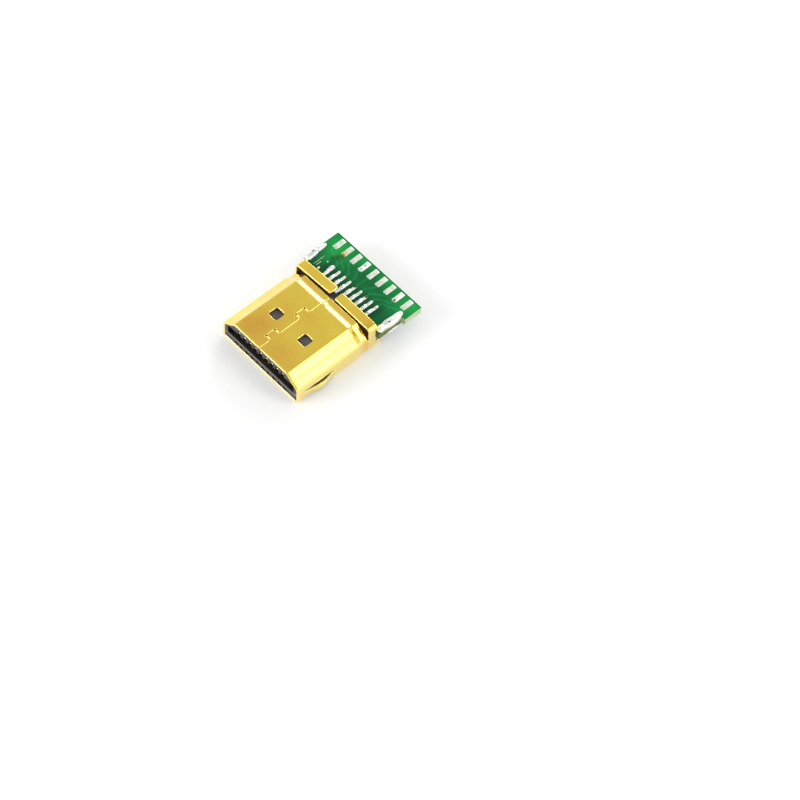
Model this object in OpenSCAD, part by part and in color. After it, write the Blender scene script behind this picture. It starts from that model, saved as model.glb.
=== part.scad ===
// Cable-side digital video plug: a folded sheet shell round a moulded insulator,
// nineteen formed contacts and a small wiring board soldered behind them.
// The plug lies on its wide side. X runs across it, Y from the mouth to the wires, Z up.
// Every length along the plug is counted from the mouth, and seated() centres the whole part.

/* [Shell body] */
// Width of the shell across its side walls
shell_w = 13.9; // [13.4:0.05:14.6]
// Height of the shell from its wide side to its narrow side
shell_h = 4.45; // [4.3:0.05:4.8]
// Thickness of the folded sheet
sheet_t = 0.3; // [0.25:0.01:0.34]
// Width of the narrow side, between its two folds
crown_w = 9.7; // [9.4:0.05:10.3]
// Height of the upright part of each side wall
shoulder_h = 2.8; // [2.6:0.05:3.1]
// How far each bevel dips below a straight line between its folds
bevel_dip = 0.12; // [0.05:0.01:0.2]
// Radius of that dip
dip_r = 2.5; // [2:0.1:3]
// Length of the shell body that enters the socket
body_len = 10.8; // [10.4:0.1:12]
// Outside radius of the two folds along the wide side
fold_r = 0.55; // [0.4:0.05:0.8]
// Outside radius of the fold between a side wall and its bevel
shoulder_r = 0.9; // [0.6:0.05:1.1]
// Outside radius of the fold between a bevel and the narrow side
crown_r = 0.6; // [0.4:0.05:0.8]

/* [Seam and windows] */
// Width of the gap left along the seam
seam_gap = 0.05; // [0.04:0.01:0.08]
// Distance of the seam from the middle of the narrow side
seam_x = 0.15; // [0:0.05:0.3]
// Length of each interlocking tab, along the plug
tab_len = 1.45; // [1:0.05:1.8]
// Reach of each interlocking tab, across the seam
tab_reach = 0.88; // [0.6:0.02:1]
// Distance from the mouth to the front tab
tab_y = 1.9; // [1.4:0.1:2.2]
// Distance from one tab to the next
tab_step = 4.9; // [4.6:0.1:5.6]
// Radius of the relief at each corner of a tab
relief_r = 0.11; // [0.08:0.01:0.14]
// Width of each latch window
window_w = 1.45; // [1.2:0.05:1.7]
// Length of each latch window
window_len = 1.5; // [1.2:0.05:1.8]
// Corner radius of each latch window
window_r = 0.3; // [0.15:0.05:0.4]
// Distance of each latch window from the middle
window_x = 2.63; // [2.5:0.01:2.9]
// Distance from the mouth to the middle of the windows
window_y = 5.05; // [4.6:0.05:5.4]

/* [Spring cut-outs] */
// Width of the slots that free the wide side's springs
slot_w = 0.3; // [0.2:0.02:0.36]
// Distance of each wide-side spring from the middle
spring_x = 3.35; // [3.1:0.05:3.6]
// Distance from the mouth to the front ends of the leg slots
leg_y = 1.45; // [1.2:0.05:1.8]
// Length of the leg slots
leg_len = 1.95; // [1.6:0.05:2.2]
// Distance between the leg slots at their front ends
leg_gap_front = 1.6; // [1.4:0.05:1.8]
// Distance between the leg slots at their rear ends
leg_gap_rear = 1.94; // [1.7:0.02:2.2]
// Length of the foot slot at the rear end of each leg slot
foot_len = 0.88; // [0.6:0.02:1]
// How far each foot slot turns back towards the mouth
foot_rise = 0.15; // [0:0.05:0.3]
// Distance from the mouth to the ends of the arc slot
arc_y = 5.25; // [4.9:0.05:5.6]
// Distance between the ends of the arc slot
arc_w = 3.54; // [3:0.02:3.8]
// How far the arc slot bows towards the wires
arc_bow = 0.27; // [0.15:0.01:0.4]
// Distance from the mouth to the side springs
leaf_y = 1.4; // [1.1:0.1:1.8]
// Length of the side springs
leaf_len = 4.55; // [4:0.05:5]
// Height of the lower edge of the side springs
leaf_low = 0.34; // [0.3:0.01:0.4]
// Height of the upper edge of the side springs
leaf_high = 1.36; // [1.1:0.02:1.5]
// Width of the slit above the side springs
leaf_slit = 0.3; // [0.2:0.02:0.36]
// How far the side springs bow out of the side walls
leaf_bow = 0.4; // [0.2:0.01:0.45]

/* [Neck and collar] */
// How far the sheet steps in behind the body
neck_step = 0.2; // [0.12:0.01:0.24]
// How far down the side wall the gap behind the neck ends, below the fold
gap_drop = 0.3; // [0.2:0.05:0.5]
// Length of the neck between the body and the collar's flaps
neck_len = 1.12; // [0.9:0.02:1.4]
// Length of the collar's flaps
collar_len = 1.38; // [1.2:0.02:1.8]
// How far the collar's side walls stand inside the body's side walls
collar_inset = 0.06; // [0:0.01:0.1]
// How far the collar's wide side lies below the neck's
collar_drop = 0.04; // [0.02:0.01:0.06]
// Outside radius of the collar's upper folds
collar_r = 0.7; // [0.5:0.05:0.9]
// Gap between the neck and the collar's flaps
flap_gap = 0.17; // [0.08:0.01:0.2]
// Gap between the two flaps
flap_slit = 0.8; // [0.5:0.05:1]
// Angle by which the left flap stands open
left_flap_angle = 4.6; // [0:0.1:6]
// Angle by which the right flap stands open
right_flap_angle = 0.8; // [0:0.1:6]
// Length of the prongs behind the collar's side walls
prong_len = 0.7; // [0.5:0.05:0.9]
// Depth of the notch between the prongs, beyond their roots
notch_depth = 0.1; // [0:0.05:0.3]
// Height of the lower prong's upper edge
notch_low = 0.95; // [0.8:0.05:1.1]
// How much of the wide side's folds the lower prongs keep
prong_fold = 0.25; // [0.15:0.05:0.4]

/* [Insulator] */
// Clearance between the shell and the mouldings inside it
fit_gap = 0.05; // [0.03:0.01:0.08]
// Distance from the mouth to the insulator's front face
insulator_y = 0.1; // [0.1:0.05:0.4]
// Length of the insulator
insulator_len = 9.4; // [9.1:0.1:9.7]
// Thickness of the insulator's walls beside the slot for the socket's tongue
insulator_wall = 0.5; // [0.4:0.05:0.7]
// Height of the slot for the socket's tongue
tongue_h = 1.6; // [1.5:0.05:1.7]
// Height of the slot's floor above the wide side
tongue_z = 1.35; // [1.3:0.01:1.4]
// Distance from the mouth to the end of the tongue slot
tongue_end = 8; // [7.6:0.1:8.4]
// Height of the lip in front of each contact channel
lip_h = 0.38; // [0.3:0.02:0.45]
// Thickness of the lip in front of each contact channel
lip_t = 0.7; // [0.5:0.05:0.9]
// Width of the contact channels
channel_w = 0.56; // [0.5:0.02:0.64]
// Height of the floor of the lower contact channels
channel_floor = 0.48; // [0.45:0.01:0.52]
// Room above the upper contacts' beams
channel_room = 0.25; // [0.2:0.01:0.28]
// Depth of the pockets for the socket's latches, under the windows
pocket_depth = 0.2; // [0.1:0.05:0.25]
// How far the latch pockets reach past the windows
pocket_margin = 0.1; // [0:0.05:0.2]

/* [Tail block] */
// Gap between the insulator and the tail block
block_gap = 0.05; // [0.02:0.01:0.1]
// How far the tail block reaches under the board, past the board's front edge
lower_lip = 0.6; // [0.4:0.05:0.7]
// How far the tail block reaches over the board, past the board's front edge
upper_lip = 0.35; // [0.2:0.05:0.6]

/* [Contacts] */
// Distance between neighbouring contacts of a row
pitch = 1; // [0.96:0.01:1.04]
// Width of a contact
contact_w = 0.4; // [0.34:0.01:0.44]
// Thickness of a contact
contact_t = 0.15; // [0.12:0.01:0.18]
// Number of contacts on the narrow side
upper_count = 9; // [7:1:10]
// Number of contacts on the wide side
lower_count = 10; // [8:1:11]
// Distance from the mouth to the contacts' tips
tip_y = 0.2; // [0.2:0.05:0.5]
// Length of the contacts' straight tips
tip_len = 0.6; // [0.4:0.05:0.7]
// Depth of the lower contacts' tips below the lips
tip_drop = 0.25; // [0.2:0.01:0.28]
// How far the upper contacts' tips lie below their roots
upper_tip_drop = 0.12; // [0:0.02:0.2]
// Distance from the mouth to the contacts' touching points
bump_y = 2.6; // [2.2:0.1:3.2]
// How far the touching points stand in the tongue slot
bump_reach = 0.28; // [0.2:0.01:0.32]
// Distance from each touching point to the shallow bends beside it
bump_half = 0.35; // [0.25:0.05:0.5]
// Share of the rise of a touching point that lies between those bends
bump_share = 0.06; // [0.03:0.01:0.1]
// Distance of the beams' rear bends from the end of the tongue slot
root_in = 1; // [0.8:0.1:1.2]
// Distance of the bends in the tail block from its front face and from the board
bend_in = 0.5; // [0.4:0.05:0.6]
// Height of the lower beams' roots above the wide side
lower_root_z = 0.82; // [0.78:0.01:0.88]
// Depth of the upper beams' roots below the narrow side
upper_root_depth = 1.05; // [1:0.01:1.1]
// Running clearance round each contact in the mouldings
contact_gap = 0.03; // [0.02:0.01:0.05]
// How far the contacts' tails reach past the collar
tail_reach = 1.75; // [1.4:0.05:2]

/* [Board] */
// Thickness of the wiring board
board_t = 1.1; // [1:0.02:1.2]
// Height of the board's underside above the wide side
board_z = 1.85; // [1.8:0.01:1.9]
// Length of the board
board_len = 7.4; // [7:0.1:8.4]
// How far the board's front edge lies inside the collar
board_in = 0.7; // [0.5:0.05:0.8]
// How far the board stands out past the shell's side walls, beside the solder
waist_out = 0.3; // [0.2:0.05:0.4]
// How far the board's rear part stands out past that
rear_out = 0.475; // [0.4:0.025:0.6]
// Clearance on each side between the collar and the board inside it
board_side_gap = 0.3; // [0.2:0.05:0.5]
// Length of the board's rear, wider part
board_rear_len = 2.85; // [2.6:0.05:3.4]
// Corner radius of the board
board_r = 0.12; // [0.1:0.02:0.3]
// Radius inside the board's steps
step_r = 0.15; // [0.1:0.05:0.25]
// Thickness of the plated pads
pad_t = 0.04; // [0.03:0.01:0.06]
// Width of a pad for a contact's tail
tail_pad_w = 0.4; // [0.3:0.02:0.44]
// Distance of the tail pads from the collar
tail_pad_y = 0.1; // [0.05:0.05:0.2]
// How far the tail pads reach past the tails
tail_pad_reach = 1.05; // [0.6:0.05:1.2]
// Distance of the outermost wire pads from the board's sides
wire_margin = 0.345; // [0.25:0.005:0.5]
// Width of a wire pad
wire_pad_w = 0.72; // [0.6:0.02:0.8]
// Length of a wire pad
wire_pad_len = 1.72; // [1.4:0.02:1.8]
// Distance of the wire pads from the board's rear edge
wire_pad_edge = 0.28; // [0.2:0.02:0.4]

/* [Solder] */
// Radius of the solder that runs from each prong over the board
solder_r = 0.62; // [0.55:0.01:0.66]
// Radius of the rear end of each run
solder_tip_r = 0.46; // [0.38:0.01:0.5]
// How far the runs bulge past the board's waist
solder_out = 0.2; // [0.1:0.05:0.25]
// How far the left runs stand out past the right ones
solder_shift = 0.2; // [0:0.05:0.25]
// Distance of the runs from the collar
solder_y = 0.3; // [0.2:0.05:0.4]
// Distance of the runs from the wire pads
solder_gap = 0.2; // [0.1:0.05:0.4]
// Radius of the solder lump on a contact's tail
tail_solder_r = 0.27; // [0.24:0.01:0.3]
// Length of the solder lump on a contact's tail
tail_solder_len = 0.9; // [0.6:0.05:1.1]
// Share of that length that lies before the tail's end
tail_solder_share = 0.7; // [0.5:0.05:0.8]

/* [Hidden] */
$fn = 48;
// How far a cutter stands out of what it cuts
over = 1;
// How far pieces of one node lie in each other
touch = 0.02;
// Cutters end this far behind the sheet that they cut
past = 0.1;
// Smallest radius on the inner side of a fold
min_r = 0.05;
// Clearance between the board's waist and the collar's notch
notch_gap = 0.02;
// Length over which the neck and the body, or the neck and the collar, are fused
join = 0.35;

body_end = body_len;
neck_end = body_end + neck_len;
collar_end = neck_end + collar_len;
prong_end = collar_end + prong_len;
board_front = collar_end - board_in;
board_rear = board_front + board_len;
board_top = board_z + board_t;
waist_start = collar_end - notch_depth + notch_gap;
insulator_end = insulator_y + insulator_len;
block_front = insulator_end + block_gap;
tongue_top = tongue_z + tongue_h;
tongue_w = shell_w - 2 * (sheet_t + fit_gap + insulator_wall);
tail_end = collar_end + tail_reach;
upper_root_z = shell_h - upper_root_depth;
upper_tail_z = board_top + pad_t + contact_t / 2;
lower_tail_z = board_z - pad_t - contact_t / 2;
collar_w = shell_w - 2 * collar_inset;
waist_w = shell_w + 2 * waist_out;
board_w = waist_w + 2 * rear_out;
board_tongue_w = collar_w - 2 * (sheet_t + board_side_gap);
wire_pitch = (board_w - 2 * wire_margin - wire_pad_w) / (lower_count - 1);
collar_low = neck_step - collar_drop;
hinge_x = collar_w / 2 - collar_r;
side_wall_in = collar_w / 2 - sheet_t;
wire_pad_start = board_rear - wire_pad_edge - wire_pad_len;

// Puts a piece, drawn from the mouth, where the whole part is centred
module seated() {
    translate([0, -board_rear / 2, 0]) children();
}

// Draws an outline across the plug, between two distances from the mouth
module along(y0, y1) {
    translate([0, y1, 0]) rotate([90, 0, 0]) linear_extrude(y1 - y0) children();
}

// Draws a side view of the plug's length and height, as wide as given
module across(width) {
    rotate([90, 0, 90]) linear_extrude(width, center = true) children();
}

// A box from its lowest corner to its highest corner
module box(low, high) {
    translate(low) cube(high - low);
}

function unit(v) = v / norm(v);
function at(points, i) = points[(i + len(points)) % len(points)];
function to_last(points, i) = unit(at(points, i - 1) - at(points, i));
function to_next(points, i) = unit(at(points, i + 1) - at(points, i));
function turn(points, i) = cross(-to_last(points, i), to_next(points, i));
function half_angle(points, i) = acos(to_last(points, i) * to_next(points, i)) / 2;
function arc_centre(points, i, r) = at(points, i)
    + unit(to_last(points, i) + to_next(points, i)) * r / sin(half_angle(points, i));
function arc_start(points, i, r) = at(points, i) + to_last(points, i) * r / tan(half_angle(points, i));
function arc_steps(points, i) = ceil(abs(180 - 2 * half_angle(points, i)) / 15);

// Points of an arc of radius r that rounds corner i of an outline
function corner_arc(points, i, r) = let (
    c = arc_centre(points, i, r),
    a = arc_start(points, i, r) - c,
    n = arc_steps(points, i),
    sweep = (180 - 2 * half_angle(points, i)) * sign(turn(points, i)))
    [for (k = [0:n]) let (w = sweep * k / n)
        c + [a[0] * cos(w) - a[1] * sin(w), a[0] * sin(w) + a[1] * cos(w)]];

// An outline with each of its corners rounded by its own radius
module rounded(points, radii) {
    polygon([for (i = [0:len(points) - 1]) each corner_arc(points, i, radii[i])]);
}

// A rectangle about the origin with rounded corners
module rounded_rect(w, h, r) {
    rounded([[w / 2, -h / 2], [w / 2, h / 2], [-w / 2, h / 2], [-w / 2, -h / 2]], [r, r, r, r]);
}

// Corner i of an outline whose sides all move inward by a distance
function moved_corner(points, i, d) = at(points, i)
    + unit(to_last(points, i) + to_next(points, i)) * sign(turn(points, i)) * d / sin(half_angle(points, i));
function moved_in(points, d) = [for (i = [0:len(points) - 1]) moved_corner(points, i, d)];

// The body's outside corners, from the right end of the wide side round to the left end
function half_outline() = let (
    shoulder = [shell_w / 2, shoulder_h],
    crown = [crown_w / 2, shell_h],
    slope = unit(crown - shoulder))
    [[shell_w / 2, 0], shoulder, (shoulder + crown) / 2 + [-slope[1], slope[0]] * bevel_dip, crown];
function mirrored(points) = [for (i = [len(points) - 1:-1:0]) [-points[i][0], points[i][1]]];
body_outline = concat(half_outline(), mirrored(half_outline()));

// The body's outline, moved inward by a distance
module body_profile(d) {
    half = [fold_r - d, shoulder_r - d, dip_r + d, crown_r - d];
    radii = [for (i = [0:7]) let (k = i < 4 ? i : 7 - i) max(half[k], min_r)];
    rounded(moved_in(body_outline, d), radii);
}

// The collar's outline, moved inward by a distance
module collar_profile(d) {
    w = collar_w / 2 - d;
    low = collar_low + d;
    high = shell_h - d;
    rounded([[w, low], [w, high], [-w, high], [-w, low]],
            [for (r = [fold_r, collar_r, collar_r, fold_r]) max(r - d, min_r)]);
}

// Sheet between two distances from the mouth, folded to the body's outline
module body_tube(y0, y1, d_out, d_in) {
    difference() {
        along(y0, y1) body_profile(d_out);
        along(y0 - over, y1 + over) body_profile(d_in);
    }
}

// A slot with round ends between two points of a flat face
module slot(a, b, w) {
    d = unit(b - a);
    n = [-d[1], d[0]] * w / 2;
    polygon([a + n, a - n, b - n, b + n]);
    translate(a) circle(w / 2);
    translate(b) circle(w / 2);
}

// The seam's path, as gaps in the narrow side, with a tab at each distance of the list
module seam_cut() {
    g = seam_gap;
    starts = [for (k = [0:1]) tab_y + k * tab_step];
    edges = concat([-over], [for (s = starts) each [s, s + tab_len]], [neck_end + over]);
    for (k = [0:2:len(edges) - 1])
        translate([-seam_x - g / 2, edges[k] - g / 2]) square([g, edges[k + 1] - edges[k] + g]);
    for (s = starts) {
        translate([-seam_x - tab_reach - g / 2, s - g / 2]) square([g, tab_len + g]);
        for (y = [s, s + tab_len]) {
            translate([-seam_x - tab_reach - g / 2, y - g / 2]) square([tab_reach + g, g]);
            translate([-seam_x - tab_reach, y]) circle(relief_r);
            translate([-seam_x, y]) circle(relief_r);
        }
    }
}

// The slots round one of the wide side's springs, about the spring's middle line
module spring_slots() {
    for (side = [-1, 1]) {
        front = [side * leg_gap_front / 2, leg_y];
        heel = [side * leg_gap_rear / 2, leg_y + leg_len];
        toe = heel + [side * foot_len, -foot_rise];
        slot(front, heel, slot_w);
        slot(heel, toe, slot_w);
    }
    arc_r = (arc_w * arc_w / 4 + arc_bow * arc_bow) / (2 * arc_bow);
    intersection() {
        translate([0, arc_y + arc_bow - arc_r]) difference() {
            circle(arc_r + slot_w / 2, $fn = 180);
            circle(arc_r - slot_w / 2, $fn = 180);
        }
        translate([-arc_w / 2, arc_y - over]) square([arc_w, arc_bow + 2 * over]);
    }
    for (side = [-1, 1])
        translate([side * arc_w / 2, arc_y]) circle(slot_w / 2);
}

// One bowed side spring, on the right
module side_leaf() {
    leaf_r = (leaf_len * leaf_len / 4 + leaf_bow * leaf_bow) / (2 * leaf_bow);
    intersection() {
        translate([shell_w / 2 + leaf_bow - leaf_r, leaf_y + leaf_len / 2, leaf_low])
            difference() {
                cylinder(r = leaf_r, h = leaf_high - leaf_low, $fn = 180);
                translate([0, 0, -over])
                    cylinder(r = leaf_r - sheet_t, h = leaf_high - leaf_low + 2 * over, $fn = 180);
            }
        box([shell_w / 2 - sheet_t, leaf_y - past, leaf_low - over],
            [shell_w / 2 + leaf_bow + over, leaf_y + leaf_len + past, leaf_high + over]);
    }
}

// One of the collar's flaps, turned open about its fold, on the right
module flap(angle) {
    translate([hinge_x, 0, shell_h]) rotate([0, angle, 0])
        box([flap_slit / 2 - hinge_x, neck_end, -sheet_t], [touch, collar_end, 0]);
}

// The collar with its side walls and prongs
module collar() {
    difference() {
        along(neck_end - join, prong_end) collar_profile(0);
        along(neck_end - join - over, prong_end + over) collar_profile(sheet_t);
        box([-hinge_x, neck_end - over, shell_h / 2], [hinge_x, prong_end + over, shell_h + over]);
        box([-shell_w, neck_end - join - over, shoulder_h], [shell_w, neck_end, shell_h + over]);
        box([prong_fold - side_wall_in, collar_end, -over],
            [side_wall_in - prong_fold, prong_end + over, shell_h + over]);
        box([-shell_w, collar_end - notch_depth, notch_low], [shell_w, prong_end + over, board_top]);
        box([-shell_w, collar_end, shell_h - collar_r], [shell_w, prong_end + over, shell_h + over]);
    }
    flap(right_flap_angle);
    mirror([1, 0, 0]) flap(left_flap_angle);
}

module shell_sheet() {
    difference() {
        union() {
            body_tube(0, body_end, 0, sheet_t);
            body_tube(body_end - join, body_end, neck_step / 2, neck_step + sheet_t);
            body_tube(body_end - join, neck_end - flap_gap, neck_step, neck_step + sheet_t);
            intersection() {
                body_tube(body_end, neck_end + touch, neck_step, neck_step + sheet_t);
                box([-shell_w, 0, -over], [shell_w, prong_end, shoulder_h - gap_drop]);
            }
        }
        translate([0, 0, shell_h - 3 * sheet_t]) linear_extrude(3 * sheet_t + over) {
            seam_cut();
            for (side = [-1, 1])
                translate([side * window_x, window_y]) rounded_rect(window_w, window_len, window_r);
        }
        translate([0, 0, -over]) linear_extrude(over + sheet_t + past)
            for (side = [-1, 1])
                translate([side * spring_x, 0]) spring_slots();
        for (side = [0, 1]) mirror([side, 0, 0])
            box([shell_w / 2 - sheet_t - past, leaf_y, -over],
                [shell_w / 2 + over, leaf_y + leaf_len, leaf_high + leaf_slit]);
    }
}

module shell() {
    color("goldenrod") seated() {
        shell_sheet();
        collar();
        for (side = [0, 1]) mirror([side, 0, 0]) side_leaf();
    }
}

function row_x(count, i) = (i - (count + 1) / 2) * pitch;

// Room in the mouldings for one contact of a row
module contact_room(count, i, z0, z1, y0, y1, w) {
    x = row_x(count, i);
    box([x - w / 2, y0, z0], [x + w / 2, y1, z1]);
}

// Room for a socket's latch, under the window on the right
module latch_pocket() {
    w = window_w / 2 + pocket_margin;
    h = window_len / 2 + pocket_margin;
    top = shell_h - sheet_t - fit_gap;
    box([window_x - w, window_y - h, top - pocket_depth], [window_x + w, window_y + h, shell_h]);
}

module insulator() {
    lip_top = tongue_z - lip_h;
    hole_w = contact_w + 2 * contact_gap;
    hole_h = contact_t / 2 + contact_gap;
    color("dimgray") seated() difference() {
        along(insulator_y, insulator_end) body_profile(sheet_t + fit_gap);
        box([-tongue_w / 2, -over, tongue_z], [tongue_w / 2, tongue_end, tongue_top]);
        for (side = [0, 1]) mirror([side, 0, 0]) latch_pocket();
        for (i = [1:lower_count]) {
            contact_room(lower_count, i, channel_floor, lip_top, -over, tongue_end, channel_w);
            contact_room(lower_count, i, lip_top - touch, tongue_z + touch, insulator_y + lip_t, tongue_end,
                         channel_w);
            contact_room(lower_count, i, lower_root_z - hole_h, lower_root_z + hole_h,
                         tongue_end - touch, insulator_end + over, hole_w);
        }
        for (i = [1:upper_count]) {
            contact_room(upper_count, i, tongue_top - touch, upper_root_z + channel_room, -over, tongue_end,
                         channel_w);
            contact_room(upper_count, i, upper_root_z - hole_h, upper_root_z + hole_h,
                         tongue_end - touch, insulator_end + over, hole_w);
        }
    }
}

module tail_block() {
    d = neck_step + sheet_t + fit_gap;
    room_w = contact_w + 2 * contact_gap;
    color("dimgray") seated() difference() {
        union() {
            along(block_front, board_front - contact_gap) body_profile(d);
            intersection() {
                along(board_front - over, board_front + lower_lip) body_profile(d);
                box([-shell_w, 0, -over], [shell_w, board_rear, board_z - contact_gap]);
            }
            intersection() {
                along(board_front - over, board_front + upper_lip) body_profile(d);
                box([-shell_w, 0, board_top + contact_gap], [shell_w, board_rear, shell_h]);
            }
        }
        for (i = [1:lower_count])
            contact_room(lower_count, i, min(lower_root_z, lower_tail_z) - contact_t,
                         max(board_z, lower_root_z + contact_t),
                         block_front - over, collar_end + over, room_w);
        for (i = [1:upper_count])
            contact_room(upper_count, i, min(board_top, upper_root_z - contact_t),
                         max(upper_root_z, upper_tail_z) + contact_t,
                         block_front - over, collar_end + over, room_w);
    }
}

function path_normal(p, i) = let (
    a = i == 0 ? unit(p[1] - p[0]) : unit(p[i] - p[i - 1]),
    b = i == len(p) - 1 ? a : unit(p[i + 1] - p[i]),
    m = unit(a + b))
    [-m[1], m[0]] / (m * a);

// A strip of even thickness along a path
module strip(p, t) {
    n = [for (i = [0:len(p) - 1]) path_normal(p, i) * t / 2];
    polygon(concat([for (i = [0:len(p) - 1]) p[i] + n[i]],
                   [for (i = [len(p) - 1:-1:0]) p[i] - n[i]]));
}

// One contact: its tip, touching point, beam, root and tail, as a formed strip
module contact(x, tip_z, bump_z, root_z, tail_z) {
    side_z = bump_z - (bump_z - tip_z) * bump_share;
    path = [[tip_y, tip_z], [tip_y + tip_len, tip_z],
            [bump_y - bump_half, side_z], [bump_y, bump_z], [bump_y + bump_half, side_z],
            [tongue_end - root_in, root_z], [block_front + bend_in, root_z],
            [board_front - bend_in, tail_z], [tail_end, tail_z]];
    color("gainsboro") seated() translate([x, 0, 0]) across(contact_w) strip(path, contact_t);
}

module upper_contact(i) {
    contact(row_x(upper_count, i), upper_root_z - upper_tip_drop, tongue_top - bump_reach + contact_t / 2,
            upper_root_z, upper_tail_z);
}

module lower_contact(i) {
    contact(row_x(lower_count, i), tongue_z - lip_h - tip_drop, tongue_z + bump_reach - contact_t / 2,
            lower_root_z, lower_tail_z);
}

module board() {
    tongue = board_tongue_w / 2;
    waist = waist_w / 2;
    rear = board_w / 2;
    step = board_rear - board_rear_len;
    half = [[tongue, board_front], [tongue, waist_start], [waist, waist_start], [waist, step],
            [rear, step], [rear, board_rear]];
    radii = [board_r, step_r, board_r, step_r, board_r, board_r];
    color("forestgreen") seated() translate([0, 0, board_z]) linear_extrude(board_t)
        rounded(concat(half, mirrored(half)), [for (i = [0:11]) radii[i < 6 ? i : 11 - i]]);
}

// A row of rectangular pads about the middle
module pad_row(count, step, w, y0, y1, z0) {
    for (i = [1:count]) {
        x = (i - (count + 1) / 2) * step;
        box([x - w / 2, y0, z0], [x + w / 2, y1, z0 + pad_t]);
    }
}

module wire_pads(count, z0) {
    color("silver") seated()
        pad_row(count, wire_pitch, wire_pad_w, wire_pad_start, wire_pad_start + wire_pad_len, z0);
}

module tail_pads(count, z0) {
    color("silver") seated()
        pad_row(count, pitch, tail_pad_w, collar_end + tail_pad_y, tail_end + tail_pad_reach, z0);
}

module wire_pads_top() { wire_pads(upper_count, board_top); }
module wire_pads_bottom() { wire_pads(lower_count, board_z - pad_t); }
module tail_pads_top() { tail_pads(upper_count, board_top); }
module tail_pads_bottom() { tail_pads(lower_count, board_z - pad_t); }

// Solder lumps over the ends of a row of tails, above a face at the given height
module tail_lumps(count) {
    y0 = tail_end - tail_solder_len * tail_solder_share;
    for (i = [1:count]) translate([row_x(count, i), 0, 0]) difference() {
        translate([0, y0, 0]) rotate([-90, 0, 0]) cylinder(r = tail_solder_r, h = tail_solder_len, $fn = 24);
        box([-over, 0, -over], [over, board_rear, 0]);
        box([-tail_pad_w / 2, 0, -over], [tail_pad_w / 2, board_rear, pad_t]);
        box([-contact_w / 2, 0, -over], [contact_w / 2, tail_end, pad_t + contact_t]);
    }
}

module tail_solder_top() {
    color("silver") seated() translate([0, 0, board_top]) tail_lumps(upper_count);
}

module tail_solder_bottom() {
    color("silver") seated() translate([0, 0, board_z]) mirror([0, 0, 1]) tail_lumps(lower_count);
}

// The solder that runs from a prong over the board, on the face at height z0 on the right
module solder_run(z0, up, shift) {
    x = waist_w / 2 + solder_out - solder_r + shift;
    y0 = collar_end + solder_y + solder_r;
    y1 = wire_pad_start - solder_gap - solder_tip_r;
    difference() {
        translate([x, 0, z0]) hull($fn = 24) {
            translate([0, y0, 0]) sphere(solder_r);
            translate([0, (y0 + y1) / 2, 0]) sphere(solder_r);
            translate([0, y1, 0]) sphere(solder_tip_r);
        }
        box([0, 0, up > 0 ? -over : z0], [shell_w, board_rear, up > 0 ? z0 : shell_h + over]);
        box([side_wall_in, 0, -over], [shell_w, prong_end, shell_h + over]);
    }
}

module shell_solder_top_right() {
    color("silver") seated() solder_run(board_top, 1, 0);
}

module shell_solder_top_left() {
    color("silver") seated() mirror([1, 0, 0]) solder_run(board_top, 1, solder_shift);
}

module shell_solder_bottom_right() {
    color("silver") seated() solder_run(board_z, -1, 0);
}

module shell_solder_bottom_left() {
    color("silver") seated() mirror([1, 0, 0]) solder_run(board_z, -1, solder_shift);
}

shell();
insulator();
tail_block();
board();
wire_pads_top();
wire_pads_bottom();
tail_pads_top();
tail_pads_bottom();
tail_solder_top();
tail_solder_bottom();
shell_solder_top_left();
shell_solder_top_right();
shell_solder_bottom_left();
shell_solder_bottom_right();
for (i = [1:upper_count]) upper_contact(i);
for (i = [1:lower_count]) lower_contact(i);
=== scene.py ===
from math import asin, acos, atan2, ceil, copysign, cos, pi, radians, sin, sqrt, tan

import bmesh
import bpy
from mathutils import Matrix, Vector, noise
from mathutils.geometry import delaunay_2d_cdt


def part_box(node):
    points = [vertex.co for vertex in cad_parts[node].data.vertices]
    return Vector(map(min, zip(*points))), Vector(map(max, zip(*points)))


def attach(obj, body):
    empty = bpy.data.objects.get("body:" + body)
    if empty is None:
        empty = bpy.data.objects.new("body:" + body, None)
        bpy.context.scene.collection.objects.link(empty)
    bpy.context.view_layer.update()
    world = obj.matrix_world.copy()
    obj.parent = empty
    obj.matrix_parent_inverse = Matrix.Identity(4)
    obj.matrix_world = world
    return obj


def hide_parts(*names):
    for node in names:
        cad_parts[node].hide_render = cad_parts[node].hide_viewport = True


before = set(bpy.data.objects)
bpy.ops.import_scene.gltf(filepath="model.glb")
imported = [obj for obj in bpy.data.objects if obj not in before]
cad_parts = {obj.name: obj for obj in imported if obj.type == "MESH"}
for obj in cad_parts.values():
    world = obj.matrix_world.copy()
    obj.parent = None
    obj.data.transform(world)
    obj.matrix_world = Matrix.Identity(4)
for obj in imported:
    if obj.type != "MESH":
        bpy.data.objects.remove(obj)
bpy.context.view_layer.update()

# Lengths below are millimetres. Distances along the plug are counted from the mouth.
MM = 0.001
MOUTH_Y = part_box("shell")[0].y / MM

# Shell body
SHELL_W = 13.9
SHELL_H = 4.45
SHEET_T = 0.3
CROWN_W = 9.7
SHOULDER_H = 2.8
BEVEL_DIP = 0.12
FOLD_R = 0.55
SHOULDER_R = 0.9
CROWN_R = 0.6
DIP_R = 2.5
EDGE_R = 0.1
MOUTH_TUCK = 0.05
MOUTH_TUCK_LEN = 0.45

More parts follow.
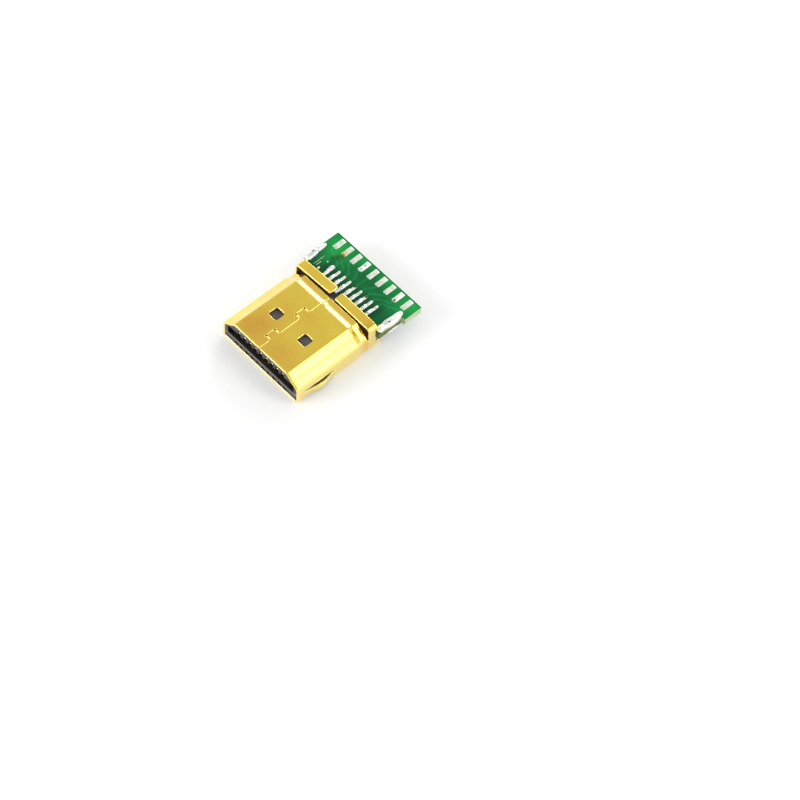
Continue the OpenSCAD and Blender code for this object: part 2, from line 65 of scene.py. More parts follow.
# Seam, windows and spring cut-outs
SEAM_GAP = 0.03
SEAM_X = 0.15
TAB_LEN = 1.45
TAB_REACH = 0.88
TAB_STARTS = (1.9, 6.8)
TAB_ROOT_R = 0.2
RELIEF_R = 0.11
WINDOW = (1.45, 1.5)
WINDOW_R = 0.3
WINDOW_X = 2.63
WINDOW_Y = 5.05
SLOT_W = 0.3
SPRING_X = 3.35
LEG_Y = 1.45
LEG_LEN = 1.95
LEG_GAPS = (1.6, 1.94)
FOOT_LEN = 0.88
FOOT_RISE = 0.15
ARC_Y = 5.25
ARC_W = 3.54
ARC_BOW = 0.27
LEAF_Y = 1.4
LEAF_LEN = 4.55
LEAF_LOW = 0.34
LEAF_HIGH = 1.36
LEAF_SLIT = 0.3
LEAF_BOW = 0.4
LEAF_PEAK = 1.27
LEAF_SLOT_R = 0.055

# Neck and collar
BODY_END = 10.8
BEND_LEN = 0.9
BEND_LAG = 0.2
BEND_LAG_W = 0.8
NECK_STEP = 0.2
NECK_END = 11.92
NECK_BLEND = (NECK_END - 0.5, NECK_END - 0.02)
FLAP_GAP = 0.17
COLLAR_END = 13.3
COLLAR_INSET = 0.06
COLLAR_LOW = 0.16
COLLAR_R = 0.7
CREASE = 0.4
FLAP_SLIT = 0.8
FLAP_ANGLES = {1: radians(0.8), -1: radians(4.55)}
PRONG_END = 14.0
NOTCH_DEPTH = 0.1
NOTCH_LOW = 0.95

# Contacts and board
PITCH = 1.0
UPPER_COUNT = 9
LOWER_COUNT = 10
CONTACT_W = 0.4
CONTACT_T = 0.15
TAIL_END = 15.05
BUMP_REACH = 0.28
CONTACT_BEND_R = 0.3
TONGUE_FLOOR = 1.35
TONGUE_ROOF = 2.95
UPPER_ROOT = SHELL_H - 1.05
UPPER_TIP = UPPER_ROOT - 0.12
LOWER_ROOT = 0.82
LOWER_TIP = TONGUE_FLOOR - 0.63
PAD_T = 0.04
TRACE_W = 0.3
TRACE_T = 0.02
TRACE_LAP = 0.2
BOARD_TONGUE_W = 12.58
BOARD_WAIST_W = 14.5
WAIST_START = 13.22
BOARD_REAR_LEN = 2.85
BOARD_R = 0.12
BOARD_EDGE_R = 0.03
STEP_R = 0.15
BOARD_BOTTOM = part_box("board")[0].z / MM
BOARD_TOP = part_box("board")[1].z / MM


def smooth(value, low, high):
    """0 below low, 1 above high and an even S curve between them"""
    t = min(max((value - low) / (high - low), 0.0), 1.0)
    return t * t * (3 - 2 * t)


def spread(low, high, count):
    """count values from low to high, both ends among them"""
    return [low + (high - low) * i / (count - 1) for i in range(count)]


# Outlines

def quarter_turn(v):
    return Vector((-v.y, v.x))


def fillet(before, corner, after, radius, step=radians(15)):
    """The points of an arc that rounds one corner of an outline"""
    back = (before - corner).normalized()
    ahead = (after - corner).normalized()
    half = acos(max(-1.0, min(1.0, back.dot(ahead)))) / 2
    if radius <= 0 or half > pi / 2 - 0.01:
        return [corner]
    centre = corner + (back + ahead).normalized() * radius / sin(half)
    start = corner + back * radius / tan(half) - centre
    side = 1 if back.cross(ahead) < 0 else -1
    count = max(2, ceil((pi - 2 * half) / step))
    turn = side * (pi - 2 * half) / count
    return [centre + Matrix.Rotation(turn * k, 2) @ start for k in range(count + 1)]


def bite(before, corner, after, centre, radius, step=radians(20)):
    """The points where a round relief about centre takes the corner out of a sheet that lies on the left"""
    reach = sqrt(radius ** 2 - (SEAM_GAP / 2) ** 2)
    ends = []
    for neighbour in (before, after):
        away = (neighbour - corner).normalized()
        ends.append(corner + away * (away.dot(centre - corner) + reach))
    first, last = (atan2((p - centre).y, (p - centre).x) for p in ends)
    while last >= first:
        last -= 2 * pi
    count = max(3, ceil((first - last) / step))
    return [centre + Vector((cos(a), sin(a))) * radius for a in spread(first, last, count + 1)]


def traced(corners):
    """An outline from (point, radius) corners, or (point, radius, relief centre) ones"""
    points = []
    for i, corner in enumerate(corners):
        before = corners[i - 1][0]
        after = corners[(i + 1) % len(corners)][0]
        if len(corner) == 3:
            points += bite(before, corner[0], after, corner[2], corner[1])
        else:
            points += fillet(before, corner[0], after, corner[1])
    return points


def rounded_rect(x, y, w, h, r):
    """A rounded rectangle about (x, y)"""
    signs = ((-1, -1), (1, -1), (1, 1), (-1, 1))
    return traced([(Vector((x + i * w / 2, y + j * h / 2)), r) for i, j in signs])


def ribbon(path, width):
    """The outline round a path, with round ends"""
    half = width / 2
    left, right = [], []
    for i, point in enumerate(path):
        a = (path[max(i, 1)] - path[max(i, 1) - 1]).normalized()
        b = (path[min(i + 1, len(path) - 1)] - path[min(i, len(path) - 2)]).normalized()
        n = (quarter_turn(a) + quarter_turn(b)).normalized()
        n /= n.dot(quarter_turn(a))
        left.append(point + n * half)
        right.append(point - n * half)
    ends = []
    for tip, inner in ((path[-1], path[-2]), (path[0], path[1])):
        start = quarter_turn(inner - tip).normalized() * half
        ends.append([tip + Matrix.Rotation(radians(180) * k / 8, 2) @ start for k in range(1, 8)])
    return right + ends[0] + left[::-1] + ends[1]


def area(loop):
    return sum(a.cross(b) for a, b in zip(loop, loop[1:] + loop[:1])) / 2


def hole(loop):
    """A loop turned so that the sheet round it lies on its left"""
    return loop if area(loop) < 0 else loop[::-1]


# Sheets with rounded edges

def outward(loop):
    """At each point of a loop, the way out of the sheet, long enough to keep an even width"""
    found = []
    for i, point in enumerate(loop):
        a = (point - loop[i - 1]).normalized()
        b = (loop[(i + 1) % len(loop)] - point).normalized()
        n = -(quarter_turn(a) + quarter_turn(b)).normalized()
        found.append(n / max(0.35, n.dot(-quarter_turn(a))))
    return found


def braced(loop, edge):
    """A loop with a point near both ends of each long side, which keeps its rounded edge even along it"""
    long_side, margin = 0.35, 0.02
    ways = outward(loop)
    points = []
    for i, point in enumerate(loop):
        ahead = loop[(i + 1) % len(loop)]
        along = (ahead - point).normalized()
        near = max(0.0, -ways[i].dot(along)) * edge + margin
        far = max(0.0, ways[(i + 1) % len(loop)].dot(along)) * edge + margin
        points.append(point)
        if (ahead - point).length > long_side:
            points += [point + along * near, ahead - along * far]
    return points


def triangles(loops):
    """Triangles between an outer loop and its holes, as indices into the loops' points in a row"""
    points = [p for loop in loops for p in loop]
    edges = []
    first = 0
    for loop in loops:
        edges += [(first + i, first + (i + 1) % len(loop)) for i in range(len(loop))]
        first += len(loop)
    _, _, faces, origins, _, _ = delaunay_2d_cdt(points, edges, [], 0, 1e-6)
    faces = [tuple(origins[i][0] for i in face) for face in faces]
    owners = {side: face for face in faces for side in zip(face, face[1:] + face[:1])}
    borders = set(edges)
    waiting = [owners[side] for side in edges]
    inner = set(waiting)
    while waiting:
        face = waiting.pop()
        for a, b in zip(face, face[1:] + face[:1]):
            beyond = owners.get((b, a))
            if (a, b) not in borders and beyond not in inner:
                inner.add(beyond)
                waiting.append(beyond)
    return [face for face in faces if face in inner]


def plate(loops, thickness, edge, steps=3):
    """A flat sheet below z = 0 with rounded edges. Its first loop runs anticlockwise, the holes clockwise.
    The layer flat_normal keeps the normal of each vertex."""
    bm = bmesh.new()
    layer = bm.verts.layers.float_vector.new("flat_normal")
    loops = [braced(loop, edge) for loop in loops]
    angles = spread(0, pi / 2, steps + 1)
    rings = [(edge * (1 - sin(a)), -edge * (1 - cos(a)), sin(a), cos(a)) for a in angles]
    rings += [(inset, -thickness - depth, flat, -up) for inset, depth, flat, up in reversed(rings)]
    top, bottom = [], []
    for loop in loops:
        ways = outward(loop)
        made = []
        for inset, depth, flat, up in rings:
            made.append([])
            for point, way in zip(loop, ways):
                vert = bm.verts.new((*(point - way * inset), depth))
                vert[layer] = Vector((*(way.normalized() * flat), up))
                made[-1].append(vert)
        for upper, lower in zip(made, made[1:]):
            for i in range(len(loop)):
                j = (i + 1) % len(loop)
                bm.faces.new((upper[i], lower[i], lower[j], upper[j]))
        top += made[0]
        bottom += made[-1]
    inner = [[p - way * edge for p, way in zip(loop, outward(loop))] for loop in loops]
    for a, b, c in triangles(inner):
        bm.faces.new((top[a], top[b], top[c]))
        bm.faces.new((bottom[c], bottom[b], bottom[a]))
    return bm


def sliced(bm, axis, values):
    """Adds a line of vertices across a mesh at each value along an axis"""
    normal = Vector([float(i == axis) for i in range(3)])
    for value in values:
        everything = bm.verts[:] + bm.edges[:] + bm.faces[:]
        bmesh.ops.bisect_plane(bm, geom=everything, dist=1e-5, plane_co=normal * value, plane_no=normal)


def laid(bm, surface):
    """Moves a flat sheet on to a curved surface, and returns the normal of each vertex"""
    layer = bm.verts.layers.float_vector["flat_normal"]
    normals = []
    step = 1e-3
    for vert in bm.verts:
        u, v, depth = vert.co
        point = surface(u, v)
        along_u = (surface(u + step, v) - surface(u - step, v)).normalized()
        along_v = (surface(u, v + step) - surface(u, v - step)).normalized()
        out = along_u.cross(along_v).normalized()
        flat = vert[layer]
        vert.co = point + out * depth
        normals.append((along_u * flat.x + along_v * flat.y + out * flat.z).normalized())
    return normals


def row_frame(point):
    """A point in millimetres from the mouth, in the row frame's metres"""
    return Vector((point[0] * MM, (point[1] + MOUTH_Y) * MM, point[2] * MM))


def placed(name, data):
    """A new object in the scene"""
    thing = bpy.data.objects.new(name, data)
    bpy.context.scene.collection.objects.link(thing)
    return thing


def finished(name, bm, material, slot, nodes, normals=None):
    """Makes a piece of the plug from a mesh in millimetres"""
    mesh = bpy.data.meshes.new(name)
    for vert in bm.verts:
        vert.co = row_frame(vert.co)
    bm.to_mesh(mesh)
    bm.free()
    mesh.polygons.foreach_set("use_smooth", [True] * len(mesh.polygons))
    if normals:
        mesh.normals_split_custom_set_from_vertices(normals)
    mesh.materials.append(material)
    piece = placed(name, mesh)
    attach(piece, "root")
    if nodes:
        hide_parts(*nodes)
    return piece


# The shell's folds

class Profile:
    """The right half of a folded outline, from the narrow side's middle to the wide side's middle"""

    def __init__(self, corners, radii, inset=0.0):
        ways = [(b - a).normalized() for a, b in zip(corners, corners[1:])]
        outs = [quarter_turn(t) for t in ways]
        bases = [a - n * inset for a, n in zip(corners, outs)]
        joints = []
        for i in range(len(ways) - 1):
            gap = bases[i + 1] - bases[i]
            joints.append(bases[i] + ways[i] * gap.cross(ways[i + 1]) / ways[i].cross(ways[i + 1]))
        self.parts = []
        last = bases[0]
        for joint, radius, t0, t1, n0 in zip(joints, radii, ways, ways[1:], outs):
            turn = 1 if t0.cross(t1) > 0 else -1
            radius += turn * inset
            sweep = acos(t0.dot(t1))
            start = joint - t0 * radius * tan(sweep / 2)
            self.parts.append(("line", last, start))
            self.parts.append(("arc", start + n0 * turn * radius, radius, turn, sweep, n0))
            last = joint + t1 * radius * tan(sweep / 2)
        self.parts.append(("line", last, corners[-1] - outs[-1] * inset))

    def lengths(self):
        return [(p[2] - p[1]).length if p[0] == "line" else p[2] * p[4] for p in self.parts]

    def at(self, index, share):
        part = self.parts[index]
        if part[0] == "line":
            return part[1].lerp(part[2], share)
        _, centre, radius, turn, sweep, start = part
        return centre - Matrix.Rotation(turn * sweep * share, 2) @ start * turn * radius


def body_corners():
    shoulder = Vector((SHELL_W / 2, SHOULDER_H))
    crown = Vector((CROWN_W / 2, SHELL_H))
    slope = (crown - shoulder).normalized()
    dip = (shoulder + crown) / 2 + quarter_turn(slope) * BEVEL_DIP
    return [Vector((0, SHELL_H)), crown, dip, shoulder, Vector((SHELL_W / 2, 0)), Vector((0, 0))]


BEND = (BODY_END - BEND_LEN * 0.8, BODY_END + BEND_LEN * 0.2)
BODY_RADII = (CROWN_R, DIP_R, SHOULDER_R, FOLD_R)
BODY = Profile(body_corners(), BODY_RADII)
_, CROWN_FOLD, _, BEVEL_FOLD, _, SHOULDER_FOLD, SIDE, WIDE_FOLD, WIDE = range(9)
STARTS = [sum(BODY.lengths()[:i]) for i in range(10)]
HALF = STARTS[9]
SIDE_TOP = BODY.at(SIDE, 0).y
insets = {}


def body_profile(inset):
    key = round(inset, 5)
    if key not in insets:
        insets[key] = Profile(body_corners(), BODY_RADII, key)
    return insets[key]


def fold_of(reach):
    """The fold or flat that a distance round the sheet falls in, and how far along it"""
    index = max(i for i in range(9) if i == 0 or reach >= STARTS[i])
    return index, (reach - STARTS[index]) / (STARTS[index + 1] - STARTS[index])


def body_point(reach, v):
    mouth = max(0.0, 1 - v / MOUTH_TUCK_LEN) ** 2
    lag = BEND_LAG * (1 - smooth(reach, 0, BEND_LAG_W))
    inset = NECK_STEP * smooth(v - lag, *BEND) + MOUTH_TUCK * mouth
    return body_profile(inset).at(*fold_of(reach))


def collar_point(reach, side):
    """A point of the collar, by its distance round the sheet from the narrow side's middle"""
    wall = SHELL_W / 2 - COLLAR_INSET
    if reach >= STARTS[SIDE]:
        index, share = fold_of(reach)
        if index == SIDE:
            return Vector((wall, SIDE_TOP + (COLLAR_LOW + FOLD_R - SIDE_TOP) * share))
        if index == WIDE:
            return Vector(((wall - FOLD_R) * (1 - share), COLLAR_LOW))
        angle = share * pi / 2
        return Vector((wall - FOLD_R + FOLD_R * cos(angle), COLLAR_LOW + FOLD_R * (1 - sin(angle))))
    climb = STARTS[SIDE] - reach
    straight = SHELL_H - COLLAR_R - SIDE_TOP
    if climb < straight:
        return Vector((wall, SIDE_TOP + climb))
    angle = min((climb - straight) / COLLAR_R, pi / 2)
    flat = climb - straight - COLLAR_R * angle
    point = Vector((wall - COLLAR_R * (1 - cos(angle)) - flat, SHELL_H - COLLAR_R * (1 - sin(angle))))
    lift = flat * smooth(flat, 0, CREASE) * sin(FLAP_ANGLES[side])
    return point + Vector((0, lift))


def leaf_bow(reach, v):
    """How far the sheet bows out where the side springs are"""
    if not LEAF_EDGES[0] <= reach <= LEAF_EDGES[1]:
        return 0.0
    share = min(max((v - LEAF_Y) / LEAF_LEN, 0.0), 1.0)
    return LEAF_BOW * sin(pi * share ** LEAF_PEAK) ** 2


def shell_surface(u, v, in_collar):
    """The shell's outer face, by the distance round the sheet and the distance from the mouth"""
    side = 1 if u <= HALF else -1
    reach = u if side == 1 else 2 * HALF - u
    if in_collar:
        x, z = collar_point(reach, side)
    else:
        near = smooth(reach, STARTS[SIDE] - 0.6, STARTS[SIDE])
        share = smooth(v, *NECK_BLEND) * near
        x, z = body_point(reach, v)
        if share > 0:
            x, z = Vector((x, z)).lerp(collar_point(reach, side), share)
    x += leaf_bow(reach, v)
    return Vector((side * x, v, z))


def reach_of_height(z):
    """The distance round the sheet of a height on the straight side wall, and above it on the collar"""
    return STARTS[SIDE] + SIDE_TOP - z


def reach_of_fold(angle):
    """The distance round the sheet of an angle round the wide side's fold"""
    return STARTS[WIDE_FOLD] + FOLD_R * angle


LEAF_FOLD = asin((FOLD_R - LEAF_LOW) / FOLD_R)
LEAF_EDGES = (reach_of_height(LEAF_HIGH) - EDGE_R / 2, reach_of_fold(LEAF_FOLD) + EDGE_R / 2)


def seam_side(edge, sign, order):
    """Corners along one side of the seam, whose plain edge is at the given place, through both tabs"""
    gap = sign * SEAM_GAP / 2
    centre = edge + gap
    root = TAB_ROOT_R if sign == 1 else TAB_ROOT_R + SEAM_GAP
    corners = []
    for start in TAB_STARTS:
        for y, shift in ((start, -gap), (start + TAB_LEN, gap)):
            near = (Vector((centre - gap, y + shift)), root)
            far = (Vector((centre - TAB_REACH - gap, y + shift)), RELIEF_R, Vector((centre - TAB_REACH, y)))
            corners += [near, far] if y == start else [far, near]
    return corners[::order]


def shell_outline():
    """The outer edge of the flat sheet, anticlockwise"""
    full = 2 * HALF
    seam_right = -SEAM_X + SEAM_GAP / 2
    seam_left = full - SEAM_X - SEAM_GAP / 2
    neck_rear = NECK_END - FLAP_GAP
    flap_edge = STARTS[SIDE] - (SHELL_H - COLLAR_R - SIDE_TOP) - COLLAR_R * pi / 2 \
        - (SHELL_W / 2 - COLLAR_INSET - COLLAR_R - FLAP_SLIT / 2)
    gap_end = STARTS[SIDE]
    prong_top = reach_of_height(SHELL_H - COLLAR_R)
    notch_top = reach_of_height(BOARD_TOP)
    notch_bottom = reach_of_height(NOTCH_LOW)
    notch = COLLAR_END - NOTCH_DEPTH
    small, medium, large, slit = 0.11, 0.14, 0.2, FLAP_GAP * 0.42
    right = [
        (STARTS[WIDE], COLLAR_END, medium), (STARTS[WIDE], PRONG_END, large),
        (notch_bottom, PRONG_END, large), (notch_bottom, notch, medium),
        (notch_top, notch, medium), (notch_top, PRONG_END, large),
        (prong_top, PRONG_END, large), (prong_top, COLLAR_END, medium),
        (flap_edge, COLLAR_END, large), (flap_edge, NECK_END, large),
        (gap_end, NECK_END, slit), (gap_end, neck_rear, slit),
        (seam_right, neck_rear, small),
    ]
    left = [(full - u, v, r) for u, v, r in right[:-1]] + [(seam_left, neck_rear, small)]
    corners = [(Vector((seam_right, 0)), small), (Vector((seam_left, 0)), small)]
    corners += seam_side(seam_left, 1, 1)
    corners += [(Vector((u, v)), r) for u, v, r in reversed(left)]
    corners += [(Vector((u, v)), r) for u, v, r in right]
    corners += seam_side(seam_right, -1, -1)
    return traced(corners)


def spring_holes(middle):
    """The slots that free one of the wide side's springs, about the middle line's place on the sheet"""
    loops = []
    for side in (-1, 1):
        front = Vector((middle + side * LEG_GAPS[0] / 2, LEG_Y))
        heel = Vector((middle + side * LEG_GAPS[1] / 2, LEG_Y + LEG_LEN))
        toe = heel + Vector((side * FOOT_LEN, -FOOT_RISE))
        loops.append(ribbon([front, heel, toe], SLOT_W))
    radius = (ARC_W ** 2 / 4 + ARC_BOW ** 2) / (2 * ARC_BOW)
    sweep = asin(ARC_W / 2 / radius)
    centre = Vector((middle, ARC_Y + ARC_BOW - radius))
    path = [centre + Vector((sin(a), cos(a))) * radius for a in spread(-sweep, sweep, 15)]
    loops.append(ribbon(path, SLOT_W))
    return loops


def leaf_holes():
    """The slots below and above each side spring"""
    under = radians(74)
    spans = [(reach_of_fold(LEAF_FOLD), reach_of_fold(under)),
             (reach_of_height(LEAF_HIGH + LEAF_SLIT), reach_of_height(LEAF_HIGH))]
    loops = []
    for low, high in spans:
        for middle in ((low + high) / 2, 2 * HALF - (low + high) / 2):
            loops.append(rounded_rect(middle, LEAF_Y + LEAF_LEN / 2, high - low, LEAF_LEN, LEAF_SLOT_R))
    return loops


def shell_holes():
    loops = [rounded_rect(x, WINDOW_Y, *WINDOW, WINDOW_R) for x in (WINDOW_X, 2 * HALF - WINDOW_X)]
    for side in (-1, 1):
        loops += spring_holes(HALF + side * SPRING_X)
    return [hole(loop) for loop in loops + leaf_holes()]


def fold_lines():
    """Places round the sheet where it bends, close enough together for round folds"""
    lines = []
    for index, count in ((CROWN_FOLD, 9), (BEVEL_FOLD, 5), (SHOULDER_FOLD, 10), (WIDE_FOLD, 13)):
        lines += spread(STARTS[index], STARTS[index + 1], count)
    fold_end = reach_of_height(SHELL_H - COLLAR_R)
    fold_start = fold_end - COLLAR_R * pi / 2
    lines += spread(fold_start, fold_end, 12)
    lines += spread(fold_start - CREASE, fold_start, 5)[:-1]
    lines += spread(BEND_LAG_W / 6, BEND_LAG_W, 6)
    return lines + [2 * HALF - line for line in lines]


def make_shell(material):
    bm = plate([shell_outline()] + shell_holes(), SHEET_T, EDGE_R)
    sliced(bm, 0, fold_lines())
    bend = spread(BEND[0], BEND[1] + BEND_LAG, 18)
    neck = spread(*NECK_BLEND, 8)
    sliced(bm, 1, spread(0.08, MOUTH_TUCK_LEN, 5) + spread(LEAF_Y, LEAF_Y + LEAF_LEN, 19) + bend + neck)
    middle = NECK_END - FLAP_GAP / 2
    normals = laid(bm, lambda u, v: shell_surface(u, v, v > middle))
    return finished("formed_shell", bm, material, "gold_shell", ["shell"], normals)


# Contacts

def section(width, height, radius, steps=3):
    """Points and normals round a rounded rectangle"""
    found = []
    for k, (i, j) in enumerate(((1, 1), (-1, 1), (-1, -1), (1, -1))):
        centre = Vector((i * (width / 2 - radius), j * (height / 2 - radius)))
        for a in spread(k * pi / 2, (k + 1) * pi / 2, steps):
            way = Vector((cos(a), sin(a)))
            found.append((centre + way * radius, way))
    return found


def bent(corners, radius):
    """A path through the given corners with each bend rounded"""
    points = [corners[0]]
    for before, corner, after in zip(corners, corners[1:], corners[2:]):
        points += fillet(before, corner, after, radius, radians(8))
    return points + [corners[-1]]


def add_strip(bm, normals, x, path, width, thickness):
    """Adds a formed strip along a path of distances from the mouth and heights"""
    edge = 0.035
    start = path[0] + (path[1] - path[0]).normalized() * edge
    stop = path[-1] + (path[-2] - path[-1]).normalized() * edge
    stations = [path[0], start] + path[1:-1] + [stop, path[-1]]
    last = len(stations) - 1
    rings = []
    for i, point in enumerate(stations):
        way = (stations[min(i + 1, last)] - stations[max(i - 1, 0)]).normalized()
        out = quarter_turn(way)
        end = -1 if i == 0 else 1 if i == last else 0
        inset = edge if end else 0.0
        ring = []
        for place, normal in section(width - 2 * inset, thickness - 2 * inset, edge):
            centre = point + out * place.y
            ring.append(bm.verts.new((x + place.x, centre.x, centre.y)))
            flat = out * normal.y + way * end
            normals.append(Vector((normal.x, flat.x, flat.y)).normalized())
        rings.append(ring)
    for near, far in zip(rings, rings[1:]):
        for i in range(len(near)):
            j = (i + 1) % len(near)
            bm.faces.new((near[i], near[j], far[j], far[i]))
    bm.faces.new(rings[0][::-1])
    bm.faces.new(rings[-1])


def contact_corners(upper):
    """The corners of a contact's side view, from its tip to its tail on the board"""
    if upper:
        tip, root = UPPER_TIP, UPPER_ROOT
        bump = TONGUE_ROOF - BUMP_REACH + CONTACT_T / 2
        tail = BOARD_TOP + PAD_T + CONTACT_T / 2
    else:
        tip, root = LOWER_TIP, LOWER_ROOT
        bump = TONGUE_FLOOR + BUMP_REACH - CONTACT_T / 2
        tail = BOARD_BOTTOM - PAD_T - CONTACT_T / 2
    places = (0.2, 0.8, 2.35, 2.85, 7.0, 10.05, 12.1, TAIL_END)
    return [Vector(corner) for corner in zip(places, (tip, tip, bump, bump, root, root, tail, tail))]


def row_places(count, pitch):
    """Places across the plug, evenly spaced about its middle"""
    return [(i - (count - 1) / 2) * pitch for i in range(count)]


def make_contacts(material):
    for kind, count in (("upper", UPPER_COUNT), ("lower", LOWER_COUNT)):
        path = bent(contact_corners(kind == "upper"), CONTACT_BEND_R)
        for i, x in enumerate(row_places(count, PITCH), 1):
            bm = bmesh.new()
            normals = []
            add_strip(bm, normals, x, path, CONTACT_W, CONTACT_T)
            bmesh.ops.recalc_face_normals(bm, faces=bm.faces[:])
            finished(f"{kind}_beam_{i}", bm, material, "contact_metal", [f"{kind}_contact_{i}"], normals)


# Pads and solder

def add_pillow(bm, normals, place, half, height, corner=2.0, crown=2.0, ripple=0.0):
    """Adds a low mound on a level face. A high corner squares its outline, a high crown flattens its top."""
    rings, around = 9, 40
    up = 1 if height > 0 else -1
    levels = [1 - (1 - k / rings) ** 1.7 for k in range(1, rings + 1)]

    def mound(share, angle):
        x = place[0] + copysign(abs(cos(angle)) ** (2 / corner), cos(angle)) * half[0] * share
        y = place[1] + copysign(abs(sin(angle)) ** (2 / corner), sin(angle)) * half[1] * share
        swell = 1 + ripple * noise.noise(Vector((x * 2.2, y * 2.2, place[2])))
        return Vector((x, y, place[2] + height * swell * max(0.0, 1 - share ** crown) ** 0.5))

    middle = bm.verts.new(mound(0, 0))
    normals.append(Vector((0, 0, up)))
    made = []
    for share in levels:
        ring = []
        for k in range(around):
            angle = 2 * pi * k / around
            point = mound(share, angle)
            inner, outer = mound(share * 0.98, angle), mound(min(1.0, share * 1.01), angle)
            side = mound(share, angle + 0.05) - mound(share, angle - 0.05)
            normal = (outer - inner).cross(side)
            if share == 1:
                normal = Vector((cos(angle), sin(angle), 0.3 * up))
            normals.append((normal if normal.z * up > 0 else -normal).normalized())
            ring.append(bm.verts.new(point))
        made.append(ring)
    for i in range(around):
        j = (i + 1) % around
        bm.faces.new((middle, made[0][i], made[0][j]))
        for near, far in zip(made, made[1:]):
            bm.faces.new((near[i], far[i], far[j], near[j]))
    bm.faces.new(made[-1][::-1])


def make_mounds(name, places, half, height, material, slot, node, vary=0.0, **form):
    """One piece of mounds at the given (x, y, z) places, each longer or shorter by up to a share"""
    bm = bmesh.new()
    normals = []
    for x, y, z in places:
        change = vary * noise.noise(Vector((x * 5.3, y, z)))
        long = half[1] * (1 + change)
        add_pillow(bm, normals, (x, y + long - half[1], z), (half[0], long), height, **form)
    bmesh.ops.recalc_face_normals(bm, faces=bm.faces[:])
    return finished(name, bm, material, slot, [node] if node else [], normals)


# The board's faces: name, contacts, height and which way is out
FACES = (("top", UPPER_COUNT, BOARD_TOP, 1), ("bottom", LOWER_COUNT, BOARD_BOTTOM, -1))
# A heap of solder on a tail: half its width and length, height, and how far it lies before the tail's end
FILLET = (0.26, 0.55)
FILLET_H = 0.26
FILLET_BACK = 0.4
# Kinds of pads: width, height as a share of PAD_T, and form
PADS = {"wire": (0.72, 1.4, {"corner": 20, "crown": 9, "ripple": 0.35}),
        "tail": (0.4, 1.3, {"corner": 5, "crown": 6, "ripple": 0.3})}


def pad_row(kind, side, count):
    """Where a row of pads is across the plug, and its front and rear from the mouth"""
    low, high = (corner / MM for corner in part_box(f"{kind}_pads_{side}"))
    pitch = (high.x - low.x - PADS[kind][0]) / (count - 1)
    return row_places(count, pitch), low.y - MOUTH_Y, high.y - MOUTH_Y


def make_pads(tin, solder):
    for side, count, face, up in FACES:
        for kind, (width, share, form) in PADS.items():
            across, front, rear = pad_row(kind, side, count)
            places = [(x, (front + rear) / 2, face) for x in across]
            make_mounds(f"tinned_{kind}_pads_{side}", places, (width / 2, (rear - front) / 2),
                        up * PAD_T * share, tin, "plated_pads", f"{kind}_pads_{side}", **form)
        places = [(x, TAIL_END - FILLET_BACK, face) for x in row_places(count, PITCH)]
        make_mounds(f"tail_fillets_{side}", places, FILLET, up * FILLET_H, solder, "solder",
                    f"tail_solder_{side}", vary=0.5, corner=5, crown=3, ripple=0.3)


# The balls that melt into a solder run: place across and from the mouth, height over the board, radius
SOLDER_BALLS = ((6.84, 13.82, 0.26, 0.55), (6.82, 14.5, 0.12, 0.56), (6.84, 15.1, 0.14, 0.62),
                (6.84, 15.7, 0.13, 0.62), (6.83, 16.3, 0.10, 0.58), (6.80, 16.85, 0.08, 0.51),
                (6.75, 17.3, 0.05, 0.42))
# How a run differs by side and face: shift outward, more of it for each ball, and share of the size
SOLDER_CHANGES = {(1, 1): (0, 0, 1), (-1, 1): (0.25, 0.05, 0.82),
                  (1, -1): (-0.02, 0.01, 0.85), (-1, -1): (-0.1, 0, 0.85)}


def make_solder_run(name, side, face, up, material, node):
    """Solder that has flowed between a prong and the board: a chain of balls melted into one lump"""
    shift, spread_out, share = SOLDER_CHANGES[side, up]
    bm = bmesh.new()
    for i, (x, y, z, r) in enumerate(SOLDER_BALLS):
        r *= share
        place = Matrix.Translation((side * (x + shift + spread_out * i), y, face + up * z))
        place = place @ Matrix.Diagonal((r, r * 1.15, r, 1))
        bmesh.ops.create_icosphere(bm, subdivisions=4, radius=1.0, matrix=place)
    mesh = bpy.data.meshes.new(name)
    bm.to_mesh(mesh)
    bm.free()
    lump = placed(name, mesh)
    melt = lump.modifiers.new("melt", "REMESH")
    melt.mode = "VOXEL"
    melt.voxel_size = 0.1
    relax = lump.modifiers.new("relax", "SMOOTH")
    relax.factor = 0.5
    relax.iterations = 25
    round_off = lump.modifiers.new("round_off", "SUBSURF")
    round_off.levels = 1
    melted = bmesh.new()
    melted.from_object(lump, bpy.context.evaluated_depsgraph_get())
    bpy.data.objects.remove(lump)
    melted.normal_update()
    for vert in melted.verts:
        swell = noise.noise(vert.co * 1.1 + Vector((side * 3.1, 0, up * 5.3)))
        vert.co += vert.normal * 0.06 * swell
    return finished(name, melted, material, "solder", [node])


def make_pad_solder(material):
    """Solder left on two of the pads for the wires, heaped on the first tail and dropped beside it"""
    across, front, rear = pad_row("wire", "top", UPPER_COUNT)
    pads = [(across[i], (front + rear) / 2 - 0.06, BOARD_TOP) for i in SOLDERED_PADS]
    for name, places, half, height, form in (
            ("solder_on_wire_pads", pads, (0.31, 0.84), 0.16, {"corner": 3.5, "crown": 2.4, "ripple": 0.5}),
            ("solder_on_first_tail", [(-4.12, 15.4, BOARD_TOP)], (0.29, 0.68), 0.3,
             {"corner": 2.6, "crown": 2.6, "ripple": 0.4}),
            ("stray_solder", [(-5.2, 14.35, BOARD_TOP)], (0.18, 0.26), 0.16, {"ripple": 0.6})):
        make_mounds(name, places, half, height, material, "solder", None, **form)


def make_solder(material):
    for level, _, face, up in FACES:
        for side, hand in ((-1, "left"), (1, "right")):
            name = f"solder_{level}_{hand}"
            make_solder_run(f"flowed_{name}", side, face, up, material, f"shell_{name}")


# Board

